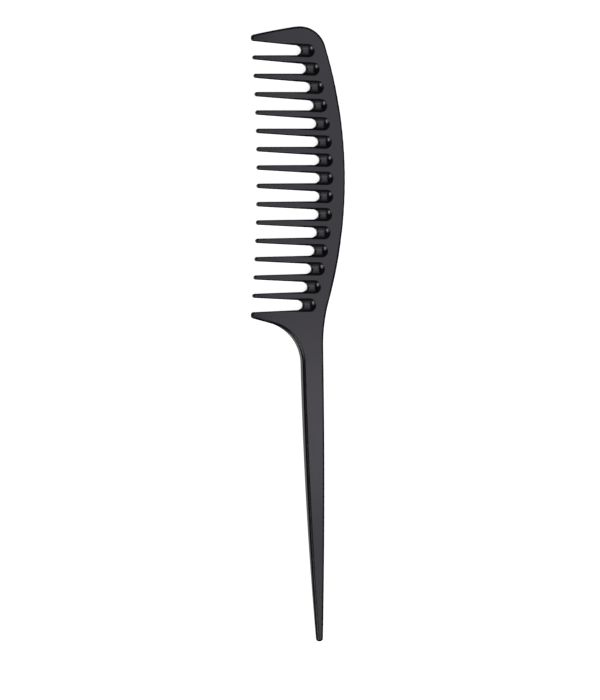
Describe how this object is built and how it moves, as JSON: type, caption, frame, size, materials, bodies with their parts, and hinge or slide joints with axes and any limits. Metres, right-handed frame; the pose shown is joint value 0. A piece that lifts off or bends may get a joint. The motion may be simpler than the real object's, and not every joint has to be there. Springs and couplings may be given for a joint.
{
  "type": "wide tooth comb",
  "caption": "Wide tooth styling comb with a curved back, broad end teeth, pockets at the tooth roots and a long tapering tail.",
  "frame": {"origin": "middle of the comb's footprint, on the flat it lies on", "axes": "+X points from the teeth to the back, +Y from the tail to the head, +Z out of the front face"},
  "size_m": [0.0368, 0.2298, 0.0041],
  "materials": {
    "comb_plastic": "satin black moulded plastic"
  },
  "bodies": {
    "root": {"spine": "comb_plastic", "end_tooth_top": "comb_plastic", "tooth_01": "comb_plastic", "tooth_02": "comb_plastic", "tooth_03": "comb_plastic", "tooth_04": "comb_plastic", "tooth_05": "comb_plastic", "tooth_06": "comb_plastic", "tooth_07": "comb_plastic", "tooth_08": "comb_plastic", "tooth_09": "comb_plastic", "tooth_10": "comb_plastic", "tooth_11": "comb_plastic", "tooth_12": "comb_plastic", "tooth_13": "comb_plastic", "tooth_14": "comb_plastic", "end_tooth_heel": "comb_plastic", "neck": "comb_plastic", "tail_shaft": "comb_plastic", "tail_tip": "comb_plastic"}
  },
  "joints": []
}
